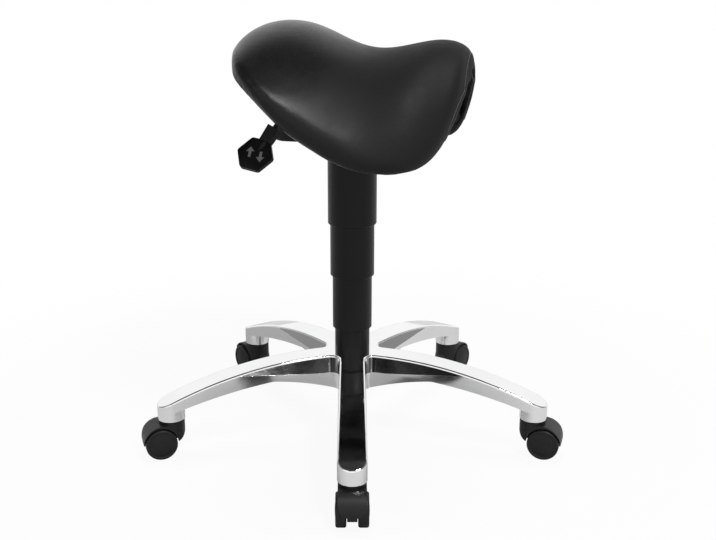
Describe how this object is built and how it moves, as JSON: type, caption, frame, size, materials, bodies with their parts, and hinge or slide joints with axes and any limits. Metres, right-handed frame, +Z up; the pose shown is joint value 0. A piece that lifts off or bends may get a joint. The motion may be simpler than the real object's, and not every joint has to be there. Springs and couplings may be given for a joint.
{
  "type": "saddle stool",
  "caption": "Height-adjustable saddle stool: padded saddle on a tilting seat plate, gas column in telescoping sleeves and a star base on twin-wheel casters.",
  "frame": {"origin": "on the floor under the column axis", "axes": "+Z up along the column, -Y toward the front of the seat, -X toward the sitter's right hand"},
  "size_m": [0.668, 0.651, 0.666],
  "materials": {
    "polished_aluminium": "polished cast aluminium",
    "sleeve_plastic": "satin moulded",
    "caster_plastic": "satin moulded",
    "caster_wheel": "satin moulded",
    "caster_steel": "zinc plated",
    "black_steel": "black powder coat",
    "bright_steel": "ground and plated",
    "black_rubber": "moulded rubber",
    "bush_plastic": "moulded bearing plastic",
    "paddle_plastic": "satin moulded",
    "black_leather": "fine grained, soft satin",
    "shell_plastic": "moulded plastic"
  },
  "bodies": {
    "base": {"base_star": "polished_aluminium", "column_tube": "black_steel", "guide_bush": "bush_plastic", "thrust_washer": "bright_steel", "bump_ring": "black_rubber", "rod_clip": "bright_steel", "piston_rod": "bright_steel", "piston_head": "bright_steel", "cover_base": "sleeve_plastic", "caster_1_stem": "caster_steel", "caster_2_stem": "caster_steel", "caster_3_stem": "caster_steel", "caster_4_stem": "caster_steel", "caster_5_stem": "caster_steel"},
    "lift": {"cover_top": "sleeve_plastic"},
    "middle_sleeve": {"cover_middle": "sleeve_plastic"},
    "lower_sleeve": {"cover_lower": "sleeve_plastic"},
    "swivel": {"gas_cylinder": "black_steel", "rod_gland": "bright_steel", "cone_socket": "black_steel", "tilt_housing": "black_steel", "tilt_pins": "bright_steel", "tilt_bushes": "black_rubber", "tilt_stops": "black_rubber", "lever_pin": "bright_steel"},
    "valve": {"valve_pin": "bright_steel"},
    "lever": {"lever_arm": "black_steel", "lever_paddle": "paddle_plastic"},
    "seat": {"seat_plate": "black_steel", "seat_bolts": "bright_steel", "seat_inserts": "bright_steel", "seat_shell": "shell_plastic", "seat_pad": "black_leather"},
    "caster_1": {"caster_1_hood": "caster_plastic", "caster_1_axle": "caster_steel"},
    "caster_1_left": {"caster_1_left_wheel": "caster_wheel"},
    "caster_1_right": {"caster_1_right_wheel": "caster_wheel"},
    "caster_2": {"caster_2_hood": "caster_plastic", "caster_2_axle": "caster_steel"},
    "caster_2_left": {"caster_2_left_wheel": "caster_wheel"},
    "caster_2_right": {"caster_2_right_wheel": "caster_wheel"},
    "caster_3": {"caster_3_hood": "caster_plastic", "caster_3_axle": "caster_steel"},
    "caster_3_left": {"caster_3_left_wheel": "caster_wheel"},
    "caster_3_right": {"caster_3_right_wheel": "caster_wheel"},
    "caster_4": {"caster_4_hood": "caster_plastic", "caster_4_axle": "caster_steel"},
    "caster_4_left": {"caster_4_left_wheel": "caster_wheel"},
    "caster_4_right": {"caster_4_right_wheel": "caster_wheel"},
    "caster_5": {"caster_5_hood": "caster_plastic", "caster_5_axle": "caster_steel"},
    "caster_5_left": {"caster_5_left_wheel": "caster_wheel"},
    "caster_5_right": {"caster_5_right_wheel": "caster_wheel"}
  },
  "joints": [
    {"name": "seat_height", "type": "slide", "parent": "base", "child": "lift", "axis": [0, 0, 1], "range_m": [-0.14, 0.03]},
    {"name": "middle_sleeve_slide", "type": "slide", "parent": "base", "child": "middle_sleeve", "axis": [0, 0, 1], "range_m": [-0.09, 0.02]},
    {"name": "lower_sleeve_slide", "type": "slide", "parent": "base", "child": "lower_sleeve", "axis": [0, 0, 1], "range_m": [-0.036, 0.008]},
    {"name": "seat_swivel", "type": "hinge", "parent": "lift", "child": "swivel", "pos_m": [0, 0, 0.09], "axis": [0, 0, 1], "continuous": true},
    {"name": "seat_tilt", "type": "hinge", "parent": "swivel", "child": "seat", "pos_m": [0, 0, 0.51], "axis": [1, 0, 0], "range_deg": [-5, 5], "stiffness_Nm_per_rad": 250},
    {"name": "lever_lift", "type": "hinge", "parent": "swivel", "child": "lever", "pos_m": [-0.02427, 0.01763, 0.527], "axis": [0.5878, 0.809, 0], "range_deg": [0, 6], "stiffness_Nm_per_rad": 12, "springref_deg": -8.59},
    {"name": "valve_press", "type": "slide", "parent": "swivel", "child": "valve", "axis": [0, 0, -1], "range_m": [0, 0.0033]},
    {"name": "caster_1_swivel", "type": "hinge", "parent": "base", "child": "caster_1", "pos_m": [0.19284, 0.22981, 0.05], "axis": [0, 0, 1], "continuous": true},
    {"name": "caster_1_left_roll", "type": "hinge", "parent": "caster_1", "child": "caster_1_left", "pos_m": [0.20569, 0.24513, 0.025], "axis": [-0.766, 0.6428, 0], "continuous": true},
    {"name": "caster_1_right_roll", "type": "hinge", "parent": "caster_1", "child": "caster_1_right", "pos_m": [0.20569, 0.24513, 0.025], "axis": [-0.766, 0.6428, 0], "continuous": true},
    {"name": "caster_2_swivel", "type": "hinge", "parent": "base", "child": "caster_2", "pos_m": [-0.15898, 0.25441, 0.05], "axis": [0, 0, 1], "continuous": true},
    {"name": "caster_2_left_roll", "type": "hinge", "parent": "caster_2", "child": "caster_2_left", "pos_m": [-0.16957, 0.27137, 0.025], "axis": [-0.848, -0.5299, 0], "continuous": true},
    {"name": "caster_2_right_roll", "type": "hinge", "parent": "caster_2", "child": "caster_2_right", "pos_m": [-0.16957, 0.27137, 0.025], "axis": [-0.848, -0.5299, 0], "continuous": true},
    {"name": "caster_3_swivel", "type": "hinge", "parent": "base", "child": "caster_3", "pos_m": [-0.29109, -0.07258, 0.05], "axis": [0, 0, 1], "continuous": true},
    {"name": "caster_3_left_roll", "type": "hinge", "parent": "caster_3", "child": "caster_3_left", "pos_m": [-0.3105, -0.07741, 0.025], "axis": [0.2419, -0.9703, 0], "continuous": true},
    {"name": "caster_3_right_roll", "type": "hinge", "parent": "caster_3", "child": "caster_3_right", "pos_m": [-0.3105, -0.07741, 0.025], "axis": [0.2419, -0.9703, 0], "continuous": true},
    {"name": "caster_4_swivel", "type": "hinge", "parent": "base", "child": "caster_4", "pos_m": [-0.02093, -0.29927, 0.05], "axis": [0, 0, 1], "continuous": true},
    {"name": "caster_4_left_roll", "type": "hinge", "parent": "caster_4", "child": "caster_4_left", "pos_m": [-0.02232, -0.31922, 0.025], "axis": [0.9976, -0.0698, 0], "continuous": true},
    {"name": "caster_4_right_roll", "type": "hinge", "parent": "caster_4", "child": "caster_4_right", "pos_m": [-0.02232, -0.31922, 0.025], "axis": [0.9976, -0.0698, 0], "continuous": true},
    {"name": "caster_5_swivel", "type": "hinge", "parent": "base", "child": "caster_5", "pos_m": [0.27815, -0.11238, 0.05], "axis": [0, 0, 1], "continuous": true},
    {"name": "caster_5_left_roll", "type": "hinge", "parent": "caster_5", "child": "caster_5_left", "pos_m": [0.2967, -0.11987, 0.025], "axis": [0.3746, 0.9272, 0], "continuous": true},
    {"name": "caster_5_right_roll", "type": "hinge", "parent": "caster_5", "child": "caster_5_right", "pos_m": [0.2967, -0.11987, 0.025], "axis": [0.3746, 0.9272, 0], "continuous": true}
  ],
  "couplings": [
    {"joint": "middle_sleeve_slide", "follows": "seat_height", "ratio": 0.62},
    {"joint": "lower_sleeve_slide", "follows": "seat_height", "ratio": 0.25},
    {"joint": "valve_press", "follows": "lever_lift", "m_per_rad": 0.03}
  ]
}
